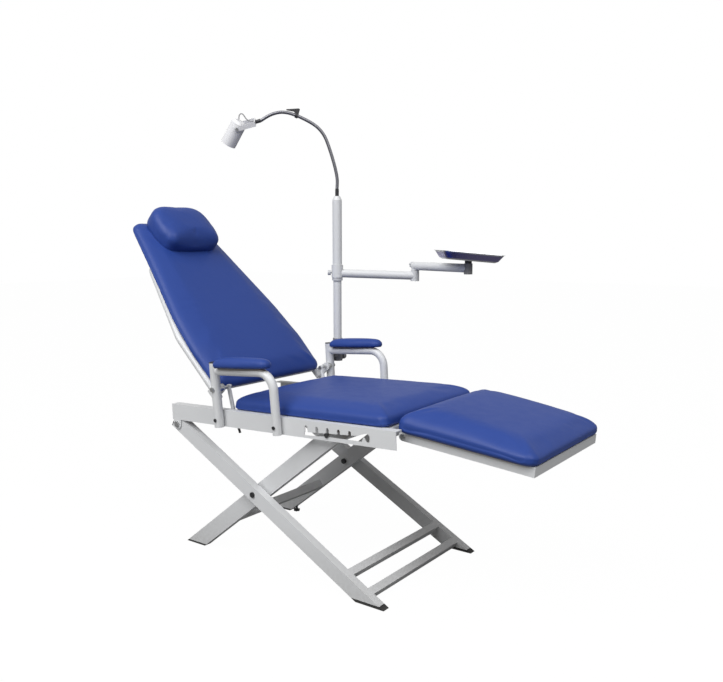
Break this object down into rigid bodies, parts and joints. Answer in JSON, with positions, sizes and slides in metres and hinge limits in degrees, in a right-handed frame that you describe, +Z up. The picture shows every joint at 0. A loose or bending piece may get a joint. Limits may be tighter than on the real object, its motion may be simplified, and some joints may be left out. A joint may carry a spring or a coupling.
{
  "type": "portable dental chair",
  "caption": "Folding patient chair on scissor legs with reclining back, head pillow, leg rest, armrests, and a pole that carries an instrument tray and a gooseneck lamp.",
  "frame": {"origin": "on the floor under the middle of the whole chair's outline", "axes": "+X towards the patient's feet, +Y towards the patient's left side where the pole stands, +Z up"},
  "size_m": [1.4962, 0.7904, 1.3845],
  "materials": {
    "white_paint": "light grey powder coat",
    "zinc_steel": "zinc plated",
    "black_steel": "black",
    "black_plastic": "matte",
    "pale_plastic": "light grey moulded",
    "foot_rubber": "matte",
    "plywood": "plain ply",
    "blue_vinyl": "smooth upholstery vinyl",
    "tray_steel": "polished stainless",
    "chrome": "bright chrome",
    "lamp_paint": "white",
    "lamp_lens": "frosted face"
  },
  "bodies": {
    "seat_frame": {"right_side_rail": "white_paint", "left_side_rail": "white_paint", "seat_cross_tubes": "white_paint", "front_cross_member": "white_paint", "leg_pivot_bolts": "zinc_steel", "right_armrest_frame": "white_paint", "left_armrest_frame": "white_paint", "armrest_caps": "black_plastic", "armrest_screws": "zinc_steel", "armrest_boards": "plywood", "right_armrest_pad": "blue_vinyl", "left_armrest_pad": "blue_vinyl", "seat_board": "plywood", "seat_cushion": "blue_vinyl", "back_pivot_bolts": "zinc_steel", "back_stays": "white_paint", "stay_studs": "black_plastic", "rest_hinge_ears": "white_paint", "rest_hinge_bolts": "zinc_steel", "pole_socket": "black_steel", "lower_pole": "white_paint", "pole_collar": "black_steel", "upper_pole": "white_paint"},
    "pole_clamp": {"pole_clamp_knob": "black_plastic"},
    "outer_legs": {"right_outer_leg": "white_paint", "left_outer_leg": "white_paint", "foot_rungs": "white_paint", "outer_end_plugs": "black_plastic", "outer_feet": "foot_rubber", "scissor_bolts": "black_steel"},
    "inner_legs": {"right_inner_leg": "white_paint", "left_inner_leg": "white_paint", "inner_cross_members": "white_paint", "height_rod": "zinc_steel", "rod_caps": "black_plastic", "inner_feet": "foot_rubber"},
    "levelling_foot": {"levelling_screw": "black_plastic"},
    "leg_rest": {"leg_rest_frame": "white_paint", "rest_board": "plywood", "rest_cushion": "blue_vinyl"},
    "backrest": {"back_frame": "white_paint", "back_board": "plywood", "back_cushion": "blue_vinyl", "head_pillow": "blue_vinyl"},
    "hub_arm": {"first_arm": "white_paint"},
    "hub_screw": {"hub_knob": "pale_plastic"},
    "elbow_arm": {"second_arm": "white_paint", "tray_holder": "black_plastic"},
    "elbow_screw": {"elbow_knob": "pale_plastic"},
    "tray": {"tray_post": "black_plastic", "instrument_tray": "tray_steel"},
    "lamp_neck": {"gooseneck": "chrome", "neck_ferrules": "chrome", "neck_clip": "black_plastic", "lamp_yoke": "lamp_paint", "lamp_screws": "black_steel", "lamp_wire": "black_plastic"},
    "lamp_head": {"lamp_housing": "lamp_paint", "lamp_shade": "lamp_paint", "lamp_bulb": "lamp_lens"}
  },
  "joints": [
    {"name": "scissor_fold", "type": "hinge", "parent": "seat_frame", "child": "outer_legs", "pos_m": [-0.41613, -0.0965, 0.38781], "axis": [0, 1, 0], "range_deg": [-25, 9.5]},
    {"name": "scissor_pivot", "type": "hinge", "parent": "outer_legs", "child": "inner_legs", "pos_m": [-0.10489, -0.0965, 0.22126], "axis": [0, 1, 0], "range_deg": [-19, 50]},
    {"name": "levelling_turn", "type": "hinge", "parent": "inner_legs", "child": "levelling_foot", "pos_m": [-0.3265, 0.1045, 0.01], "axis": [0, 0, 1], "range_deg": [-360, 360]},
    {"name": "leg_rest_hinge", "type": "hinge", "parent": "seat_frame", "child": "leg_rest", "pos_m": [0.37686, -0.0965, 0.4553], "axis": [0, 1, 0], "range_deg": [0, 80]},
    {"name": "backrest_recline", "type": "hinge", "parent": "seat_frame", "child": "backrest", "pos_m": [-0.22402, -0.0965, 0.52072], "axis": [0, 1, 0], "range_deg": [-40, 25]},
    {"name": "pole_clamp_turn", "type": "hinge", "parent": "seat_frame", "child": "pole_clamp", "pos_m": [-0.22246, 0.2315, 0.548], "axis": [0, 1, 0], "range_deg": [-360, 360]},
    {"name": "hub_swing", "type": "hinge", "parent": "seat_frame", "child": "hub_arm", "pos_m": [-0.22246, 0.2095, 0.836], "axis": [0, 0, 1], "range_deg": [-60, 60]},
    {"name": "hub_knob_turn", "type": "hinge", "parent": "hub_arm", "child": "hub_screw", "pos_m": [-0.24021, 0.1965, 0.838], "axis": [-0.807, -0.5906, 0], "range_deg": [-360, 360]},
    {"name": "elbow_swing", "type": "hinge", "parent": "hub_arm", "child": "elbow_arm", "pos_m": [-0.00781, 0.3666, 0.8604], "axis": [0, 0, 1], "range_deg": [-70, 70]},
    {"name": "elbow_knob_turn", "type": "hinge", "parent": "elbow_arm", "child": "elbow_screw", "pos_m": [-0.02865, 0.37365, 0.8644], "axis": [-0.9472, 0.3206, 0], "range_deg": [-360, 360]},
    {"name": "tray_turn", "type": "hinge", "parent": "elbow_arm", "child": "tray", "pos_m": [0.24415, 0.28132, 0.88], "axis": [0, 0, 1], "range_deg": [-90, 90]},
    {"name": "gooseneck_turn", "type": "hinge", "parent": "seat_frame", "child": "lamp_neck", "pos_m": [-0.22246, 0.2095, 1.1], "axis": [0, 0, 1], "range_deg": [-90, 90]},
    {"name": "lamp_tilt", "type": "hinge", "parent": "lamp_neck", "child": "lamp_head", "pos_m": [-0.49184, 0.01235, 1.32444], "axis": [-0.6259, 0.6909, 0.3619], "range_deg": [-25, 25], "deforming": ["lamp_wire"]}
  ],
  "couplings": [
    {"joint": "scissor_pivot", "follows": "scissor_fold", "ratio": -2}
  ]
}
